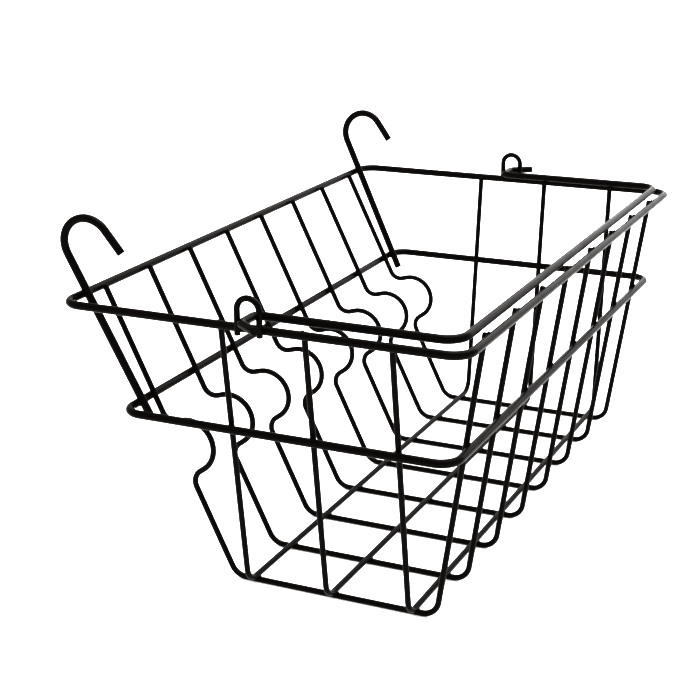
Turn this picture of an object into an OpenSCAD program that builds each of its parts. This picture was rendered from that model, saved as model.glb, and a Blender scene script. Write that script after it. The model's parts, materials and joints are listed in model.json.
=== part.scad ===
// Wire basket that hangs on a bicycle's handlebar by two hooks, with a folding carrying bail.
// Millimetres. X runs along the handlebar, -Y is the front, +Y the handlebar side, +Z is up.
// The floor wires stand on z = 0 and the origin is the middle of the whole footprint.

/* [Basket] */
// Length of the floor, between the bends of the long wires
floor_l = 312; // [240:1:360]
// Depth of the floor, between the bends of the cross wires
floor_d = 110; // [90:0.5:150]
// Height of the top rim's centre line
rim_h = 147; // [135:0.5:175]
// Height of the middle rim's centre line
mid_h = 92; // [88:0.5:98]
// Lean of the wall on the handlebar side, from the vertical
rear_lean = 25.9; // [20:0.1:32]
// Lean of the front wall, from the vertical
front_lean = 8.9; // [0:0.1:15]
// Lean of the two end walls, from the vertical
end_lean = 8; // [0:0.1:15]

/* [Wires] */
// Diameter of the two rims' wire
rim_wire = 4.2; // [3.5:0.1:5]
// Diameter of the thin cross wires and long wires
mesh_wire = 3; // [2:0.1:3.6]
// How deep a welded wire sinks into the wire that it crosses
weld = 0.15; // [0.05:0.05:0.3]
// Number of cross wires, which run from the front to the handlebar side
cross_count = 8; // [4:1:10]
// Spacing of the cross wires
cross_pitch = 41.8; // [20:0.1:42]
// Number of long wires, which run from end to end
long_count = 3; // [2:1:4]
// Spacing of the long wires
long_pitch = 43.7; // [20:0.1:48]
// How far the long wires stand off the middle of the floor, towards the handlebar side
long_shift = -1; // [-10:0.5:10]
// Bend radius at the rims' corners, on the centre line
rim_bend = 10; // [6:1:25]
// Bend radius where a floor wire turns up into a wall, on the centre line
floor_bend = 8.8; // [3:0.1:12]
// How far the cut ends of the cross wires stand above the top rim's centre line
tip_rise = 1.2; // [0:0.1:1.9]
// How far the cut ends of the long wires stand above it
end_tip_rise = 0.5; // [0:0.1:1.9]

/* [Stem channel] */
// Centre line radius of the round channel in the wall on the handlebar side
channel_r = 13.8; // [11:0.1:15]
// How far the channel's centre lies inside that wall
channel_inset = 6.5; // [4:0.1:8]
// Angle that the channel's round part turns to each side of its middle
channel_side = 80; // [60:1:85]
// Height of the channel's centre
channel_h = 68.2; // [60:0.1:70]
// Bend radius where the wall turns into the channel
channel_bend = 7; // [3:0.5:8]

/* [Hooks] */
// Diameter of the hooks' wire
hook_wire = 4.2; // [3.5:0.1:5]
// Diameter of the handlebar that the hooks hang on
bar_d = 22.2; // [20:0.1:26]
// Play between the handlebar and the hook
bar_play = 0.1; // [0:0.05:1]
// Distance between the two hooks
hook_span = 328; // [200:1:328]
// Height of the hooks' round part above the top rim
hook_rise = 26.8; // [22:0.1:40]
// How far a hook's foot reaches below the middle rim
hook_foot = 7.5; // [5:0.5:12]
// How far each hook's top leans outwards, in the plane of the wall
hook_splay = 4; // [0:0.5:8]
// Direction of the hook's tip, from the handlebar side over the top
tip_angle = 233; // [200:1:240]
// Length of the hook's straight tip
hook_tip = 14; // [4:0.5:18]

/* [Bail] */
// Diameter of the bail's wire
bail_wire = 4.2; // [3.5:0.1:5]
// Diameter of the eyelets' wire
loop_wire = 3; // [2:0.1:3.6]
// Width of an eyelet, between the centres of its legs
loop_w = 11.6; // [9:0.1:14]
// Height of an eyelet's top above the top rim's centre line
loop_rise = 15.7; // [12:0.1:20]
// How far an eyelet's legs reach below the top rim's centre line
loop_foot = 2.6; // [2:0.1:10]
// Running gap between the bail and the wires that it passes
run_gap = 0.3; // [0.3:0.05:0.6]
// How far the bail's front run lies behind the top rim's front run
bail_inset = 5.8; // [5.4:0.1:12]
// How far the bail's side runs lie inside the top rim's end runs
bail_side_inset = 7.4; // [7:0.1:15]
// Bend radius at the bail's two front corners, on the centre line
bail_bend = 10; // [6:1:25]
// Bend radius where the bail's ends turn through the eyelets, on the centre line
end_bend = 4; // [3:0.1:4.2]
// Length of the bail's tail outside the eyelet, from the hinge axis
tail_l = 14.5; // [8:0.5:20]
// How far the bail's tail turns outwards from the front
tail_splay = 35; // [20:1:60]

/* [Hidden] */

wire_colour = [0.08, 0.08, 0.075];
$fn = 32;

// Bending swells a wire a little. Straight runs reach this far into a bend, so both join cleanly.
swell = 0.04;
bite = 0.2;

// Heights of the floor wires' centre lines: the cross wires stand on the ground and
// the long wires lie on top of them.
cross_z = (mesh_wire + swell) / 2;
long_z = cross_z + mesh_wire - weld;

// Distance between the centre lines of two welded wires
mesh_to_rim = (mesh_wire + rim_wire) / 2 - weld;
hook_to_rim = (hook_wire + rim_wire) / 2 - weld;
loop_to_rim = (loop_wire + rim_wire) / 2 - weld;

// The hinge axis lies on the top rim, with the running gap between the two wires.
hinge_z = rim_h + rim_wire / 2 + run_gap + bail_wire / 2;

// Where the rims' centre lines run, with y measured from the middle of the floor.
// Both rims go round the outside of the mesh wires.
function rear_wire(z) = floor_d / 2 + (z - cross_z) * tan(rear_lean);
function front_wire(z) = -floor_d / 2 - (z - cross_z) * tan(front_lean);
function end_wire(z) = floor_l / 2 + (z - long_z) * tan(end_lean);
function rear_rim(z) = rear_wire(z) + mesh_to_rim / cos(rear_lean);
function front_rim(z) = front_wire(z) - mesh_to_rim / cos(front_lean);
function end_rim(z) = end_wire(z) + mesh_to_rim / cos(end_lean);

// A hook's leg lies on the inside of both rims, parallel to the wall. leg_dir points up both.
hook_r = (bar_d + hook_wire) / 2 + bar_play;
function hook_leg(z) = rear_rim(z) - hook_to_rim / cos(rear_lean);
leg_dir = [sin(rear_lean), cos(rear_lean)];
arch_start_z = rim_h + hook_rise - hook_r * leg_dir[0];
arch_y = hook_leg(arch_start_z) - hook_r * leg_dir[1];

// Shift that puts the origin in the middle of the footprint, front to back
rear_end = max(arch_y + hook_r + hook_wire / 2, rear_rim(rim_h) + rim_wire / 2);
front_end = front_rim(rim_h) - rim_wire / 2;
mid_y = (rear_end + front_end) / 2;

// The eyelets stand outside the middle of the top rim's end runs. The bail's pins bear on
// their rear legs, and its tails start clear of them.
loop_x = end_rim(rim_h) + loop_to_rim;
loop_y = (rear_rim(rim_h) + front_rim(rim_h)) / 2;
hinge_y = loop_y + (loop_w - loop_wire - bail_wire) / 2 - run_gap;
bail_x = end_rim(rim_h) - bail_side_inset;
tail_x = loop_x + loop_wire / 2 + run_gap + end_bend * tan((90 - tail_splay) / 2);
bail_front = front_rim(rim_h) + bail_inset;

// Direction and turn at the points of a flat path
function heading(a, b) = atan2(b[1] - a[1], b[0] - a[0]);
function wrap(a) = a > 180 ? a - 360 : a < -180 ? a + 360 : a;
function turn(p, i) = wrap(heading(p[i], p[i + 1]) - heading(p[i - 1], p[i]));
function trim(p, r, i) = i == 0 || i == len(p) - 1 ? 0 : r[i - 1] * tan(abs(turn(p, i)) / 2);

// Straight run of wire along +X, which reaches into the bends at its start and end
module run(d, length, at_start = bite, at_end = bite) {
    translate([-at_start, 0, 0]) rotate([0, 90, 0]) cylinder(d = d, h = length + at_start + at_end);
}

// Bend round the origin in the XY plane, from +X towards +Y
module bend(d, radius, angle) {
    rotate_extrude(angle = angle) translate([radius, 0]) circle(d = d + swell);
}

// Round wire along flat points, with each inner point bent to its own radius
module bent_wire(d, points, radii, end_bite = 0) {
    last = len(points) - 1;
    for (i = [0:last - 1]) {
        start = trim(points, radii, i);
        length = norm(points[i + 1] - points[i]) - start - trim(points, radii, i + 1);
        translate(points[i]) rotate([0, 0, heading(points[i], points[i + 1])]) translate([start, 0, 0])
            run(d, length, i == 0 ? end_bite : bite, i == last - 1 ? end_bite : bite);
    }
    for (i = [1:last - 1]) {
        angle = abs(turn(points, i));
        side = sign(turn(points, i));
        translate(points[i]) rotate([0, 0, heading(points[i - 1], points[i])])
            translate([-trim(points, radii, i), side * radii[i - 1], 0])
                rotate([0, 0, side > 0 ? -90 : 90 - angle]) bend(d, radii[i - 1], angle);
    }
}

// Stands a flat path up, so that its first coordinate runs along Y and its second along Z
module upright_y(x) {
    translate([x, -mid_y, 0]) rotate([90, 0, 90]) children();
}

// The same with the first coordinate along X
module upright_x(y) {
    translate([0, y - mid_y, 0]) rotate([90, 0, 0]) children();
}

// Closed ring of rim wire that lies flat at height z
module rim(z) {
    side_x = end_rim(z);
    half_y = (rear_rim(z) - front_rim(z)) / 2;
    translate([0, (rear_rim(z) + front_rim(z)) / 2 - mid_y, z])
        for (turned = [0, 180]) rotate([0, 0, turned]) {
            translate([rim_bend - side_x, -half_y, 0]) run(rim_wire, 2 * (side_x - rim_bend));
            translate([side_x, rim_bend - half_y, 0]) rotate([0, 0, 90])
                run(rim_wire, 2 * (half_y - rim_bend));
            for (corner = [0, 1]) mirror([corner, 0, 0])
                translate([side_x - rim_bend, rim_bend - half_y, 0]) rotate([0, 0, -90])
                    bend(rim_wire, rim_bend, 90);
        }
}

module top_rim() {
    color(wire_colour) rim(rim_h);
}

module middle_rim() {
    color(wire_colour) rim(mid_h);
}

// Cross wire: front wall, floor, then the rear wall with the round channel in it
module cross_wire(i) {
    x = (i - (cross_count + 1) / 2) * cross_pitch;
    tip_z = rim_h + tip_rise;
    inward = [-leg_dir[1], leg_dir[0]];
    foot_z = channel_h - channel_inset * inward[1];
    foot = [rear_wire(foot_z), foot_z];
    // Half width of the channel's mouth on the wall, and the point where its two sides would meet
    shoulder = channel_inset + channel_r * cos(channel_side);
    mouth = channel_r * sin(channel_side) + shoulder / tan(channel_side);
    apex = mouth * tan(channel_side);
    color(wire_colour) upright_y(x)
        bent_wire(mesh_wire, [
            [front_wire(tip_z), tip_z],
            [front_wire(cross_z), cross_z],
            [rear_wire(cross_z), cross_z],
            foot - mouth * leg_dir,
            foot + apex * inward,
            foot + mouth * leg_dir,
            [rear_wire(tip_z), tip_z],
        ], [floor_bend, floor_bend, channel_bend, channel_r, channel_bend]);
}

// Long wire: up one end wall, along the floor on top of the cross wires, and up the other
module long_wire(i) {
    y = (i - (long_count + 1) / 2) * long_pitch + long_shift;
    tip_z = rim_h + end_tip_rise;
    color(wire_colour) upright_x(y)
        bent_wire(mesh_wire, [
            [-end_wire(tip_z), tip_z],
            [-end_wire(long_z), long_z],
            [end_wire(long_z), long_z],
            [end_wire(tip_z), tip_z],
        ], [floor_bend, floor_bend]);
}

// Hook: leg on the inside of both rims, arch over the handlebar, and straight tip
module hook(side) {
    foot_z = mid_h - hook_foot;
    turned = tip_angle - (90 - rear_lean);
    reach = hook_r * tan(turned / 2);
    color(wire_colour) translate([side * hook_span / 2, hook_leg(arch_start_z) - mid_y, arch_start_z])
        rotate(a = side * hook_splay, v = [0, leg_dir[1], -leg_dir[0]]) rotate([90, 0, 90])
            bent_wire(hook_wire, [
                -(arch_start_z - foot_z) / leg_dir[1] * leg_dir,
                reach * leg_dir,
                reach * leg_dir + (reach + hook_tip) * [cos(tip_angle), sin(tip_angle)],
            ], [hook_r]);
}

module left_hook() {
    hook(-1);
}

module right_hook() {
    hook(1);
}

// Eyelet: upside-down U on the outside of the top rim's end run
module eyelet(side) {
    foot_z = rim_h - loop_foot;
    arch_h = rim_h + loop_rise - loop_w / 2;
    color(wire_colour) upright_y(side * loop_x) translate([loop_y, 0, 0]) {
        for (leg = [-1, 1]) translate([leg * loop_w / 2, foot_z, 0]) rotate([0, 0, 90])
            run(loop_wire, arch_h - foot_z, 0, bite);
        translate([0, arch_h, 0]) bend(loop_wire, loop_w / 2, 180);
    }
}

module left_eyelet() {
    eyelet(-1);
}

module right_eyelet() {
    eyelet(1);
}

// Bail: U of wire, whose ends turn outwards through the eyelets and then forwards in short tails
module bail_handle() {
    reach = hinge_y - bail_front;
    end_x = tail_x + tail_l * sin(tail_splay);
    end_y = -tail_l * cos(tail_splay);
    color(wire_colour) translate([0, hinge_y - mid_y, hinge_z])
        bent_wire(bail_wire, [
            [-end_x, end_y],
            [-tail_x, 0],
            [-bail_x, 0],
            [-bail_x, -reach],
            [bail_x, -reach],
            [bail_x, 0],
            [tail_x, 0],
            [end_x, end_y],
        ], [end_bend, end_bend, bail_bend, bail_bend, end_bend, end_bend]);
}

top_rim();
middle_rim();
for (i = [1:cross_count]) cross_wire(i);
for (i = [1:long_count]) long_wire(i);
left_hook();
right_hook();
left_eyelet();
right_eyelet();
bail_handle();
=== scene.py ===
# %% [markdown]
# # A wire handlebar basket
#
# This lesson dresses a working model of a small wire basket: two rings of thick wire, a net of
# thin wires bent into the body, two hooks for the handlebar, and a folding carrying bail that
# turns in two eyelets. The working model is loaded first and stays where it is. Every wire is
# then drawn again as a finished piece: smooth bends, broken edges at the cut ends, a weld bead
# wherever two wires touch, and a coat of black paint.

import json
import math

import bpy
import numpy as np
from mathutils import Matrix, Vector
from mathutils.geometry import intersect_line_line


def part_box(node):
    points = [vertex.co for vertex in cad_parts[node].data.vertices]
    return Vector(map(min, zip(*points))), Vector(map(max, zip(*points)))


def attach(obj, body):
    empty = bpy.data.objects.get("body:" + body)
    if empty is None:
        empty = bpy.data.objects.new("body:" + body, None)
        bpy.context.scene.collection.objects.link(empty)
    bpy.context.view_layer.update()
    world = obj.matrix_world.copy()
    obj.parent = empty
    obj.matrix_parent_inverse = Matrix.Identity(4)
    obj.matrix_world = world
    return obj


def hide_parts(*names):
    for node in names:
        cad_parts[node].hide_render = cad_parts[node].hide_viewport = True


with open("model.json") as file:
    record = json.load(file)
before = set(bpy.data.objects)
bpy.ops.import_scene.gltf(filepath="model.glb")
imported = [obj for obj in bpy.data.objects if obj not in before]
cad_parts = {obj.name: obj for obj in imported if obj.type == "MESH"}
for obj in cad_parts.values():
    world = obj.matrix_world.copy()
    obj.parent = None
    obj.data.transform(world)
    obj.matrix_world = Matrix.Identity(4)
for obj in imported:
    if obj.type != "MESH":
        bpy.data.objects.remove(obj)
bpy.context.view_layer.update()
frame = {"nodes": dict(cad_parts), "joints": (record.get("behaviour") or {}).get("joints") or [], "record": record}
MM = 0.001


# %% [markdown]
# ## Sizes
#
# Places come from the boxes of the working model's parts, so the finished wires land exactly on
# them. A box doesn't hold an angle or a bend radius, so those few values are written here, as a
# wire bender would have them on the job card.

# %% The job card
WALL_LEAN_REAR = math.radians(25.9)
WALL_LEAN_FRONT = math.radians(8.9)
WALL_LEAN_END = math.radians(8)
FLOOR_BEND = 8.8 * MM
RIM_BEND = 10 * MM
CHANNEL_RADIUS = 13.8 * MM
CHANNEL_INSET = 6.5 * MM
CHANNEL_SIDE = math.radians(80)
CHANNEL_HEIGHT = 68.2 * MM
CHANNEL_BEND = 7 * MM
HOOK_RADIUS = 13.3 * MM
HOOK_TIP_ANGLE = math.radians(233)
HOOK_TIP = 14 * MM
HOOK_SPLAY = math.radians(4)
LOOP_LEGS = 11.6 * MM
BAIL_SIDE_INSET = 7.4 * MM
BAIL_BEND = 10 * MM
BAIL_END_BEND = 4 * MM
BAIL_TAIL = 14.5 * MM
BAIL_TAIL_SPLAY = math.radians(35)
BEND_SWELL = 0.04 * MM


def size_of(node):
    """Length of a node's box along X, Y and Z."""
    low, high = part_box(node)
    return high - low


THICK = size_of("top_rim").z - BEND_SWELL
THIN = size_of("cross_wire_1").x - BEND_SWELL
print("thick wire", round(THICK / MM, 2), "mm, thin wire", round(THIN / MM, 2), "mm")


# %% [markdown]
# ## A path for each wire
#
# A bent wire is a chain of straight runs and round bends. The corner points are easy to work
# out from the box, so one function takes corners and bend radii and returns the points that a
# bending machine would make: close together round a bend, far apart on a straight. Near a cut
# end it adds a few extra points, which the wire tool below uses to round the edge of the cut.

# %% Corners to bent path
BEND_STEP = math.radians(6)
STRAIGHT_STEP = 9 * MM
EDGE_BREAK = 0.35 * MM
END_STEPS = (0, 0.1, 0.35, 0.7, 1.0)


def straight(start, end):
    """Points from start up to, but not with, end."""
    count = max(1, round((end - start).length / STRAIGHT_STEP))
    return [start.lerp(end, i / count) for i in range(count)]


def bent_path(corners, radii, closed=False):
    """Points along straight runs with a round bend of each radius at each inner corner."""
    corners = [Vector(c) for c in corners]
    count = len(corners)
    inner = range(count) if closed else range(1, count - 1)
    bends = {}
    for i, radius in zip(inner, radii):
        here = corners[i]
        before = (here - corners[i - 1]).normalized()
        after = (corners[(i + 1) % count] - here).normalized()
        angle = before.angle(after)
        start = here - before * radius * math.tan(angle / 2)
        inward = (after - before * before.dot(after)).normalized()
        steps = max(4, math.ceil(angle / BEND_STEP))
        turns = [angle * k / steps for k in range(steps + 1)]
        forward = [before * radius * math.sin(t) for t in turns]
        sideways = [inward * radius * (1 - math.cos(t)) for t in turns]
        bends[i] = [start + f + s for f, s in zip(forward, sideways)]
    points = []
    for i in range(count if closed else count - 1):
        start = bends[i][-1] if i in bends else corners[i]
        following = (i + 1) % count
        end = bends[following][0] if following in bends else corners[following]
        points += straight(start, end)
        points += bends[following][:-1] if following in bends else []
    return points if closed else ease_ends(points + [corners[-1]])


def ease_ends(points):
    """Adds close points at both ends of an open path."""
    first = (points[1] - points[0]).normalized()
    last = (points[-2] - points[-1]).normalized()
    head = [points[0] + first * EDGE_BREAK * s for s in END_STEPS]
    tail = [points[-1] + last * EDGE_BREAK * s for s in reversed(END_STEPS)]
    return head + points[1:-1] + tail


# %% [markdown]
# ## The wires' centre lines
#
# Each function below reads one part's box and gives its centre line. The cross wires carry the
# most shape: front wall, floor, and a rear wall with a round channel bent into it. A rear wall
# leans by a known angle, so its line is found from the wire's top end and that angle.

# %% Rims
def rim_path(node):
    """Closed rounded rectangle through the middle of the rim's wire."""
    low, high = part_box(node)
    z = (low.z + high.z) / 2
    margin = THICK / 2
    x = high.x - margin
    front = low.y + margin
    rear = high.y - margin
    corners = [(-x, front, z), (x, front, z), (x, rear, z), (-x, rear, z)]
    return bent_path(corners, [RIM_BEND] * 4, closed=True)


# %% Cross wires
def cross_path(node):
    """Front wall, floor and rear wall of a cross wire, with the channel."""
    low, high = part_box(node)
    x = (low.x + high.x) / 2
    radius = THIN / 2
    up = Vector((0, math.sin(WALL_LEAN_REAR), math.cos(WALL_LEAN_REAR)))
    inward = Vector((0, -up.z, up.y))
    tip_z = high.z - radius * up.y
    floor_z = low.z + (THIN + BEND_SWELL) / 2
    front_top = low.y + radius * math.cos(WALL_LEAN_FRONT)
    rear_top = high.y - radius * up.z
    rise = tip_z - floor_z
    front_floor = front_top + rise * math.tan(WALL_LEAN_FRONT)
    rear_floor = rear_top - rise * math.tan(WALL_LEAN_REAR)
    foot_z = CHANNEL_HEIGHT - CHANNEL_INSET * inward.z
    foot = Vector((x, rear_floor + (foot_z - floor_z) * math.tan(WALL_LEAN_REAR), foot_z))
    shoulder = CHANNEL_INSET + CHANNEL_RADIUS * math.cos(CHANNEL_SIDE)
    mouth = CHANNEL_RADIUS * math.sin(CHANNEL_SIDE) + shoulder / math.tan(CHANNEL_SIDE)
    corners = [
        (x, front_top, tip_z),
        (x, front_floor, floor_z),
        (x, rear_floor, floor_z),
        foot - up * mouth,
        foot + inward * mouth * math.tan(CHANNEL_SIDE),
        foot + up * mouth,
        (x, rear_top, tip_z),
    ]
    return bent_path(corners, [FLOOR_BEND, FLOOR_BEND, CHANNEL_BEND, CHANNEL_RADIUS, CHANNEL_BEND])


# %% Long wires
def long_path(node):
    """Up one end wall, along the floor and up the other end wall."""
    low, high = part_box(node)
    y = (low.y + high.y) / 2
    radius = THIN / 2
    tip_z = high.z - radius * math.sin(WALL_LEAN_END)
    floor_z = low.z + (THIN + BEND_SWELL) / 2
    top_x = high.x - radius * math.cos(WALL_LEAN_END)
    floor_x = top_x - (tip_z - floor_z) * math.tan(WALL_LEAN_END)
    corners = [(-top_x, y, tip_z), (-floor_x, y, floor_z), (floor_x, y, floor_z), (top_x, y, tip_z)]
    return bent_path(corners, [FLOOR_BEND, FLOOR_BEND])


# %% Hooks
SEATS = {mount["name"]: Vector(mount["pos_m"]) for mount in frame["record"]["mounts"]}


def hook_path(node):
    """Leg on the rear wall, arch round the handlebar's seat, straight tip."""
    seat = SEATS[node + "_seat"]
    splay = math.copysign(HOOK_SPLAY, seat.x)
    lean = Vector((0, math.sin(WALL_LEAN_REAR), math.cos(WALL_LEAN_REAR)))
    outward = Vector((0, lean.z, -lean.y))
    up = lean * math.cos(splay) + Vector((math.sin(splay), 0, 0))
    leg_top = seat + outward * HOOK_RADIUS
    foot_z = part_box(node)[0].z + THICK / 2 * math.sqrt(1 - up.z ** 2)
    foot = leg_top - up * (leg_top.z - foot_z) / up.z
    turned = HOOK_TIP_ANGLE - math.pi / 2 + WALL_LEAN_REAR
    reach = HOOK_RADIUS * math.tan(turned / 2)
    crown = leg_top + up * reach
    tip = up * math.cos(turned) - outward * math.sin(turned)
    return bent_path([foot, crown, crown + tip * (reach + HOOK_TIP)], [HOOK_RADIUS])


# %% Eyelets
def eyelet_path(node):
    """Upside-down U."""
    low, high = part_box(node)
    x = (low.x + high.x) / 2
    y = (low.y + high.y) / 2
    half = LOOP_LEGS / 2
    top = high.z - (THIN + BEND_SWELL) / 2
    corners = [(x, y - half, low.z), (x, y - half, top), (x, y + half, top), (x, y + half, low.z)]
    return bent_path(corners, [half, half])


# %% Bail
def bail_path(node):
    """Front run, two side runs, a pin through each eyelet, and a tail that keeps it there."""
    low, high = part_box(node)
    hinge = Vector(frame["joints"][0]["pos_m"])
    front = low.y + THICK / 2
    side_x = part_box("top_rim")[1].x - THICK / 2 - BAIL_SIDE_INSET
    tail = Vector((math.sin(BAIL_TAIL_SPLAY), -math.cos(BAIL_TAIL_SPLAY), 0)) * BAIL_TAIL
    tail_x = high.x - THICK / 2 * math.cos(BAIL_TAIL_SPLAY) - tail.x
    right = [
        Vector((side_x, front, hinge.z)),
        Vector((side_x, hinge.y, hinge.z)),
        Vector((tail_x, hinge.y, hinge.z)),
        Vector((tail_x, hinge.y, hinge.z)) + tail,
    ]
    left = [Vector((-p.x, p.y, p.z)) for p in reversed(right)]
    radii = [BAIL_END_BEND, BAIL_END_BEND, BAIL_BEND]
    return bent_path(left + right, radii + radii[::-1])


# %% Every path
PATHS = {}
for name in frame["nodes"]:
    if name.endswith("rim"):
        PATHS[name] = rim_path(name)
    if name.startswith("cross_wire"):
        PATHS[name] = cross_path(name)
    if name.startswith("long_wire"):
        PATHS[name] = long_path(name)
    if name.endswith("hook"):
        PATHS[name] = hook_path(name)
    if name.endswith("eyelet"):
        PATHS[name] = eyelet_path(name)
    if name == "bail_handle":
        PATHS[name] = bail_path(name)
print(len(PATHS), "centre lines for", len(frame["nodes"]), "parts")


def is_thick(name):
    """True for the heavy gauge: rims, hooks and bail."""
    return name.endswith(("rim", "hook", "handle"))


# %% [markdown]
# ## Paint
#
# Such baskets are welded from bright steel wire and then dipped or sprayed black. The coat is
# thin and fairly glossy, so a wire shows a soft light line along its length. Seen close, the
# paint has a faint orange-peel skin and is a little thicker and duller beside the welds. Upward
# faces get pale grey-brown specks, partly dust and partly a painted highlight for the sheen of
# light on the tops. The colour is a very dark warm black, never pure black.

# %% Colour and node helpers
def linear(hex_colour):
    """sRGB hex to the linear colour that a shader wants."""
    channels = [int(hex_colour[i:i + 2], 16) / 255 for i in (1, 3, 5)]
    return [c / 12.92 if c <= 0.04045 else ((c + 0.055) / 1.055) ** 2.4 for c in channels] + [1.0]


def add(tree, kind, inputs=None, **settings):
    """Adds a node, sets its options, and fills or links its inputs."""
    node = tree.nodes.new(kind)
    for key, value in settings.items():
        setattr(node, key, value)
    for key, value in (inputs or {}).items():
        if isinstance(value, bpy.types.NodeSocket):
            tree.links.new(value, node.inputs[key])
        else:
            node.inputs[key].default_value = value
    return node


# %% Painted steel wire
PAINT = "#0E0906"
PAINT_THIN = "#150E0A"
# A pale grey-brown for upward faces: dust, and a painted highlight standing in for the grey sheen of light on the
# tops.
PAINT_DUST_AND_TOP_SHEEN = "#2E2921"
PEEL_SIZE = 1.6 * MM
PEEL_HEIGHT = 0.05 * MM
DRIP_SIZE = 14 * MM
DUST_SIZE = 5 * MM
# How far the tops go towards the pale dust and painted highlight colour.
MOST_DUST_AND_TOP_SHEEN = 0.12
PAINT_IOR = 1.5
# Real gloss paint would have 0.5 here. It is turned down to keep the blacks deep in a white room.
MIRROR_STRENGTH = 0.1


def painted_wire(name, roughness, peel):
    """Black gloss paint on drawn steel wire, with orange peel, uneven gloss, and pale specks on top that are dust
    and a painted highlight.
    """
    material = bpy.data.materials.new(name)
    material.use_nodes = True
    tree = material.node_tree
    tree.nodes.clear()
    where = add(tree, "ShaderNodeTexCoord").outputs["Object"]
    skin = add(tree, "ShaderNodeTexNoise", {"Vector": where, "Scale": 1 / PEEL_SIZE, "Detail": 2.0})
    drip = add(tree, "ShaderNodeTexNoise", {"Vector": where, "Scale": 1 / DRIP_SIZE, "Detail": 3.0})
    dust = add(tree, "ShaderNodeTexNoise", {"Vector": where, "Scale": 1 / DUST_SIZE, "Detail": 6.0})
    up = add(tree, "ShaderNodeSeparateXYZ", {0: add(tree, "ShaderNodeNewGeometry").outputs["Normal"]})
    # Upward faces get pale specks: dust, and a painted highlight of the light falling on the tops.
    dust_and_sheen_on_top = add(tree, "ShaderNodeMapRange", {0: up.outputs["Z"], 1: 0.2, 2: 1.0, 3: 0.0, 4: MOST_DUST_AND_TOP_SHEEN})
    speck = add(tree, "ShaderNodeMapRange", {0: dust.outputs["Fac"], 1: 0.5, 2: 0.75})
    dust_and_painted_sheen = add(tree, "ShaderNodeMath", {0: dust_and_sheen_on_top.outputs[0], 1: speck.outputs[0]},
                operation="MULTIPLY")
    coat = add(tree, "ShaderNodeMix", {0: drip.outputs["Fac"], 6: linear(PAINT), 7: linear(PAINT_THIN)},
               data_type="RGBA")
    colour = add(tree, "ShaderNodeMix", {0: dust_and_painted_sheen.outputs[0], 6: coat.outputs[2], 7: linear(PAINT_DUST_AND_TOP_SHEEN)},
                 data_type="RGBA")
    gloss = add(tree, "ShaderNodeMapRange",
                {0: drip.outputs["Fac"], 1: 0.3, 2: 0.7, 3: roughness - 0.05, 4: roughness + 0.07})
    bump = add(tree, "ShaderNodeBump",
               {"Height": skin.outputs["Fac"], "Strength": peel, "Distance": PEEL_HEIGHT})
    shader = add(tree, "ShaderNodeBsdfPrincipled", {
        "Base Color": colour.outputs[2],
        "Roughness": gloss.outputs[0],
        "Normal": bump.outputs["Normal"],
        "IOR": PAINT_IOR,
        "Specular IOR Level": MIRROR_STRENGTH,
    })
    add(tree, "ShaderNodeOutputMaterial", {"Surface": shader.outputs[0]})
    return material


THICK_PAINT = painted_wire("Gloss black paint on thick steel wire", 0.26, 0.5)
THIN_PAINT = painted_wire("Gloss black paint on thin steel wire", 0.3, 0.5)
WELD_PAINT = painted_wire("Gloss black paint over a weld bead", 0.4, 0.9)
print("paints:", THICK_PAINT.name, "/", THIN_PAINT.name, "/", WELD_PAINT.name)


# %% [markdown]
# ## One tool for every wire
#
# Every wire is the same thing, a round section that follows a path, so one Geometry Nodes tree
# draws them all. It takes the path as a chain of points, gives it a round section, and pulls the
# section in over the last fraction of a millimetre, which rounds the edge of a cut end. A very
# small wander keeps long runs from looking ruled. On a ring there is no end, so the pull-in is
# switched off.

# %% The wire tool
def new_tree(name, inputs):
    """An empty Geometry Nodes tree with a geometry input, named inputs and a geometry output."""
    tree = bpy.data.node_groups.new(name, "GeometryNodeTree")
    tree.interface.new_socket("Geometry", in_out="INPUT", socket_type="NodeSocketGeometry")
    for label, kind in inputs.items():
        tree.interface.new_socket(label, in_out="INPUT", socket_type=kind)
    tree.interface.new_socket("Geometry", in_out="OUTPUT", socket_type="NodeSocketGeometry")
    return tree, add(tree, "NodeGroupInput").outputs


def maths(tree, operation, *values):
    """One Math node's result."""
    return add(tree, "ShaderNodeMath", dict(enumerate(values)), operation=operation).outputs[0]


WANDER_LENGTH = 40 * MM


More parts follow.
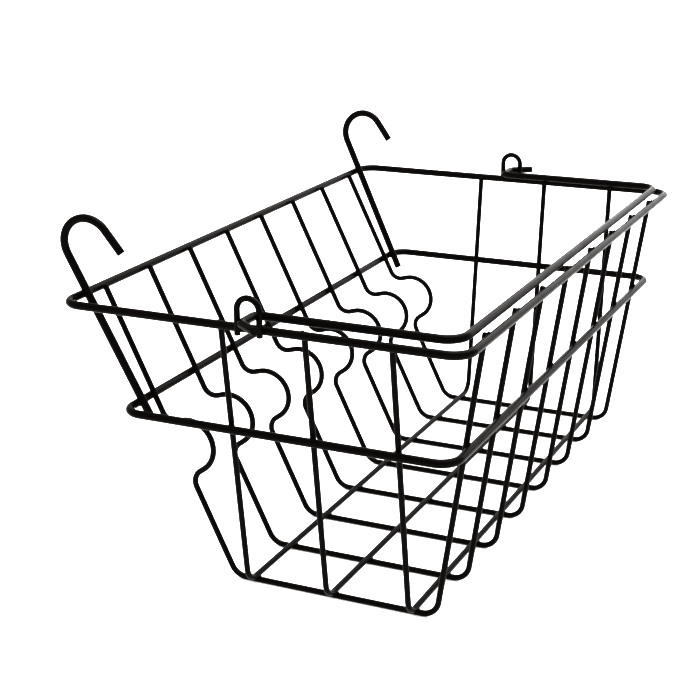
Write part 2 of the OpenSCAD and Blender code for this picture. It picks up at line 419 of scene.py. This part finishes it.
def wire_tool():
    """Path points to a finished round wire."""
    tree, given = new_tree("Bent wire", {
        "Wire radius": "NodeSocketFloat",
        "Sides": "NodeSocketInt",
        "Edge break": "NodeSocketFloat",
        "Wander": "NodeSocketFloat",
        "Seed": "NodeSocketFloat",
        "Paint": "NodeSocketMaterial",
    })
    path = add(tree, "GeometryNodeMeshToCurve", {0: given["Geometry"]}).outputs[0]
    place = add(tree, "GeometryNodeInputPosition").outputs[0]
    noise = add(tree, "ShaderNodeTexNoise",
                {"Vector": place, "W": given["Seed"], "Scale": 1 / WANDER_LENGTH},
                noise_dimensions="4D")
    centred = add(tree, "ShaderNodeVectorMath", {0: noise.outputs["Color"], 1: (0.5, 0.5, 0.5)},
                  operation="SUBTRACT")
    wander = add(tree, "ShaderNodeVectorMath", {0: centred.outputs[0], 3: given["Wander"]},
                 operation="SCALE")
    path = add(tree, "GeometryNodeSetPosition", {0: path, "Offset": wander.outputs[0]}).outputs[0]
    along = add(tree, "GeometryNodeSplineParameter").outputs["Length"]
    total = add(tree, "GeometryNodeSplineLength").outputs["Length"]
    from_end = maths(tree, "MINIMUM", along, maths(tree, "SUBTRACT", total, along))
    share = maths(tree, "MINIMUM", maths(tree, "DIVIDE", from_end, given["Edge break"]), 1.0)
    gap = maths(tree, "SUBTRACT", 1.0, share)
    round_off = maths(tree, "SQRT", maths(tree, "SUBTRACT", 1.0, maths(tree, "MULTIPLY", gap, gap)))
    cut = maths(tree, "MULTIPLY", given["Edge break"], maths(tree, "SUBTRACT", 1.0, round_off))
    radius = maths(tree, "SUBTRACT", given["Wire radius"], cut)
    section = add(tree, "GeometryNodeCurvePrimitiveCircle", {"Resolution": given["Sides"], "Radius": 1.0})
    mesh = add(tree, "GeometryNodeCurveToMesh", {
        "Curve": path,
        "Profile Curve": section.outputs[0],
        "Scale": radius,
        "Fill Caps": True,
    }).outputs[0]
    mesh = add(tree, "GeometryNodeSetShadeSmooth", {0: mesh}).outputs[0]
    mesh = add(tree, "GeometryNodeRealizeInstances", {0: mesh}).outputs[0]
    mesh = add(tree, "GeometryNodeSetMaterial", {0: mesh, "Material": given["Paint"]}).outputs[0]
    add(tree, "NodeGroupOutput", {0: mesh})
    return tree


WIRE_TOOL = wire_tool()


# %% Run a tree and keep its mesh
def run_tool(tree, name, points, edges, values, attributes=None):
    """Feeds points to a tree and returns the result as a plain mesh object."""
    source = bpy.data.meshes.new(name + "_source")
    source.from_pydata(points, edges, [])
    for label, vectors in (attributes or {}).items():
        store = source.attributes.new(label, "FLOAT_VECTOR", "POINT")
        store.data.foreach_set("vector", np.array(vectors, dtype=np.float32).ravel())
    carrier = bpy.data.objects.new(name + "_source", source)
    bpy.context.scene.collection.objects.link(carrier)
    modifier = carrier.modifiers.new("tool", "NODES")
    modifier.node_group = tree
    sockets = {s.name: s.identifier for s in tree.interface.items_tree if s.in_out == "INPUT"}
    for label, value in values.items():
        modifier[sockets[label]] = value
    depsgraph = bpy.context.evaluated_depsgraph_get()
    mesh = bpy.data.meshes.new_from_object(carrier.evaluated_get(depsgraph))
    mesh.name = name
    bpy.data.objects.remove(carrier)
    piece = bpy.data.objects.new(name, mesh)
    bpy.context.scene.collection.objects.link(piece)
    return piece


# %% [markdown]
# ## Drawing the wires
#
# Each wire replaces its plain part in the working model and rides on the same body; thick
# wires get the thick-wire paint and thin wires the thin-wire paint. The bail rides on its own body, the one that
# swings.

# %% Draw every wire
BODY_OF = {node: body for body, nodes in frame["record"]["behaviour"]["bodies"].items() for node in nodes}
THICK_SIDES = 28
THIN_SIDES = 22
WANDER = 0.12 * MM
NO_EDGE_BREAK = 1e-6

triangles = 0
for seed, (name, points) in enumerate(PATHS.items()):
    thick = is_thick(name)
    closed = name.endswith("rim")
    count = len(points)
    edges = [(i, (i + 1) % count) for i in range(count if closed else count - 1)]
    piece = run_tool(WIRE_TOOL, "wire_" + name, [tuple(p) for p in points], edges, {
        "Wire radius": (THICK if thick else THIN) / 2,
        "Sides": THICK_SIDES if thick else THIN_SIDES,
        "Edge break": NO_EDGE_BREAK if closed else EDGE_BREAK,
        "Wander": 0.0 if name == "bail_handle" else WANDER,
        "Seed": float(seed),
        "Paint": THICK_PAINT if thick else THIN_PAINT,
    })
    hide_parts(name)
    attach(piece, BODY_OF[name])
    triangles += sum(len(p.vertices) - 2 for p in piece.data.polygons)
print("wires drawn with", triangles, "triangles")


# %% [markdown]
# ## Welds
#
# The wires are joined by resistance welding: two wires are clamped, a current passes through the
# place where they touch, and the steel squeezes out into a small bead round that place. A bead
# belongs wherever two wires of the basket touch, so the script finds those places itself: it
# looks for the nearest approach of each pair of centre lines and keeps those closer than the two
# radii together. The bail is loose in its eyelets, so it gets none.

# %% Find where wires touch
WELD_SINK = 0.15 * MM
TOUCH_SLACK = 0.2 * MM


def nearest_pairs(first, second, reach):
    """Close approaches of two paths: (point on first, point on second)."""
    one = np.array(first)
    two = np.array(second)
    gap = np.linalg.norm(one[:, None] - two[None], axis=2)
    found = []
    for i, j in np.argwhere(gap < STRAIGHT_STEP):
        if i + 1 >= len(one) or j + 1 >= len(two):
            continue
        hit = intersect_line_line(first[i], first[i + 1], second[j], second[j + 1])
        if hit is None:
            continue
        a, b = hit
        run_a = first[i + 1] - first[i]
        run_b = second[j + 1] - second[j]
        share_a = (a - first[i]).dot(run_a) / run_a.length_squared
        share_b = (b - second[j]).dot(run_b) / run_b.length_squared
        inside = -0.001 <= share_a <= 1.001 and -0.001 <= share_b <= 1.001
        if inside and (a - b).length < reach and all((a - f[0]).length > THICK for f in found):
            found.append((a, b))
    return found


touching = []
fixed = [n for n in PATHS if BODY_OF[n] == "basket"]
for i, first in enumerate(fixed):
    for second in fixed[i + 1:]:
        radii = [(THICK if is_thick(n) else THIN) / 2 for n in (first, second)]
        closed_first = PATHS[first] + PATHS[first][:1] if first.endswith("rim") else PATHS[first]
        closed_second = PATHS[second] + PATHS[second][:1] if second.endswith("rim") else PATHS[second]
        for a, b in nearest_pairs(closed_first, closed_second, sum(radii) + TOUCH_SLACK):
            across = (b - a).normalized()
            touching.append((a + across * (radii[0] - WELD_SINK / 2), across, min(radii)))
print(len(touching), "welds")


# %% [markdown]
# A bead is a flattened ball that lies in the groove between the two wires. One bead is drawn and
# set at every touching place by a second tree, turned so that its short axis points from wire to
# wire, scaled to the thinner wire, and roughened a little so that no two are alike.

# %% The bead tool
BEAD_WIDTH = 1.12
BEAD_DEPTH = 0.62
BEAD_ROUGHNESS = 0.45 * MM
BEAD_GRAIN = 1.3 * MM


def bead_tool():
    """Points with a direction and a size to weld beads."""
    tree, given = new_tree("Weld beads", {
        "Roughness": "NodeSocketFloat",
        "Seed": "NodeSocketInt",
        "Paint": "NodeSocketMaterial",
    })
    ball = add(tree, "GeometryNodeMeshUVSphere", {"Segments": 20, "Rings": 12, "Radius": 1.0}).outputs[0]
    flat = (BEAD_WIDTH, BEAD_WIDTH, BEAD_DEPTH)
    ball = add(tree, "GeometryNodeTransform", {0: ball, "Scale": flat}).outputs[0]
    across = add(tree, "GeometryNodeInputNamedAttribute", {"Name": "across"}, data_type="FLOAT_VECTOR")
    size = add(tree, "GeometryNodeInputNamedAttribute", {"Name": "size"}, data_type="FLOAT_VECTOR")
    turned = add(tree, "FunctionNodeAlignRotationToVector", {"Vector": across.outputs[0]}, axis="Z")
    vary = add(tree, "FunctionNodeRandomValue",
               {0: (0.88, 0.88, 0.85), 1: (1.14, 1.14, 1.1), "Seed": given["Seed"]},
               data_type="FLOAT_VECTOR")
    scale = add(tree, "ShaderNodeVectorMath", {0: size.outputs[0], 1: vary.outputs[0]},
                operation="MULTIPLY")
    points = add(tree, "GeometryNodeMeshToPoints", {0: given["Geometry"]}).outputs[0]
    beads = add(tree, "GeometryNodeInstanceOnPoints", {
        0: points,
        "Instance": ball,
        "Rotation": turned.outputs[0],
        "Scale": scale.outputs[0],
    }).outputs[0]
    beads = add(tree, "GeometryNodeRealizeInstances", {0: beads}).outputs[0]
    noise = add(tree, "ShaderNodeTexNoise", {"Scale": 1 / BEAD_GRAIN, "Detail": 1.0})
    either_way = maths(tree, "SUBTRACT", noise.outputs["Fac"], 0.5)
    amount = maths(tree, "MULTIPLY", either_way, given["Roughness"])
    normal = add(tree, "GeometryNodeInputNormal").outputs[0]
    push = add(tree, "ShaderNodeVectorMath", {0: normal, 3: amount}, operation="SCALE")
    beads = add(tree, "GeometryNodeSetPosition", {0: beads, "Offset": push.outputs[0]}).outputs[0]
    beads = add(tree, "GeometryNodeSetShadeSmooth", {0: beads}).outputs[0]
    beads = add(tree, "GeometryNodeSetMaterial", {0: beads, "Material": given["Paint"]}).outputs[0]
    add(tree, "NodeGroupOutput", {0: beads})
    return tree


beads = run_tool(bead_tool(), "weld_beads", [tuple(t[0]) for t in touching], [], {
    "Roughness": BEAD_ROUGHNESS,
    "Seed": 7,
    "Paint": WELD_PAINT,
}, {"across": [t[1] for t in touching], "size": [(t[2], t[2], t[2]) for t in touching]})
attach(beads, "basket")
print("weld beads:", len(beads.data.polygons), "faces")


# %% [markdown]
# ## Studio
#
# A black wire against white needs light from all round: what the eye reads as a shiny wire is
# the pale room mirrored in it. The set is a white table lit softly from below, a white room, one
# broad lamp overhead, and a second one beyond the far end, which puts the grey sheen on the long
# runs of the rims and the bail. The print is made a little bright and contrasty, as a catalogue
# picture is, so the table and the room go to plain white and the paint stays deep.

# %% Floor, room and lamps
def plain(name, colour, roughness, glow):
    """A plain pale surface for the set, lit from below by the glow."""
    material = bpy.data.materials.new(name)
    material.use_nodes = True
    shader = material.node_tree.nodes["Principled BSDF"]
    shader.inputs["Base Color"].default_value = linear(colour)
    shader.inputs["Roughness"].default_value = roughness
    shader.inputs["Emission Color"].default_value = linear(colour)
    shader.inputs["Emission Strength"].default_value = glow
    return material


def floor():
    """A wide pale floor just under the wires."""
    size = 12.0
    mesh = bpy.data.meshes.new("floor")
    corners = [(-size, -size, 0), (size, -size, 0), (size, size, 0), (-size, size, 0)]
    mesh.from_pydata(corners, [], [(0, 1, 2, 3)])
    mesh.materials.append(plain("Back-lit opal acrylic table", "#FAFAFA", 0.9, 0.35))
    item = bpy.data.objects.new("floor", mesh)
    bpy.context.scene.collection.objects.link(item)


def lamp(name, place, target, size, power):
    """A square soft box that points at the target."""
    data = bpy.data.lights.new(name, "AREA")
    data.size = size
    data.energy = power
    item = bpy.data.objects.new(name, data)
    item.location = place
    item.rotation_euler = (Vector(target) - Vector(place)).to_track_quat("-Z", "Y").to_euler()
    bpy.context.scene.collection.objects.link(item)


# These two change only how the picture is printed, not the paint.
PRINT_EXPOSURE = 0.4
PRINT_GAMMA = 0.6

floor()
lamp("overhead", (0.2, -0.2, 1.6), (0, 0, 0), 1.4, 28)
lamp("far end", (1.9, -0.3, 1.1), (0, 0, 0.1), 2.0, 26)
world = bpy.data.worlds.new("Pale room")
world.use_nodes = True
world.node_tree.nodes["Background"].inputs[0].default_value = (1, 1, 1, 1)
world.node_tree.nodes["Background"].inputs[1].default_value = 1.0
bpy.context.scene.world = world
bpy.context.scene.view_settings.view_transform = "Standard"
bpy.context.scene.view_settings.exposure = PRINT_EXPOSURE
bpy.context.scene.view_settings.gamma = PRINT_GAMMA

# %% [markdown]
# ## Camera
#
# The basket is seen from one end, a little from the front and from above, with a long lens.

# %% Camera
CAMERA_PLACE = Vector((-0.78235, -0.33438, 0.36275))
CAMERA_TURN = math.radians(24.901)
CAMERA_DROP = math.radians(15.954)
CAMERA_ROLL = math.radians(-0.474)
SENSOR = 36.0
LENS = 80.215
SHIFT = (-0.0029, -0.0895)

camera = bpy.data.objects.new("camera", bpy.data.cameras.new("camera"))
camera.data.sensor_width = SENSOR
camera.data.lens = LENS
camera.data.shift_x, camera.data.shift_y = SHIFT
camera.data.clip_start = 0.01
along_floor = math.cos(CAMERA_DROP)
look = Vector((
    along_floor * math.cos(CAMERA_TURN),
    along_floor * math.sin(CAMERA_TURN),
    -math.sin(CAMERA_DROP),
))
level = look.to_track_quat("-Z", "Y")
aim = level.to_matrix().to_4x4() @ Matrix.Rotation(CAMERA_ROLL, 4, "Z")
camera.matrix_world = Matrix.Translation(CAMERA_PLACE) @ aim
bpy.context.scene.collection.objects.link(camera)
bpy.context.scene.camera = camera
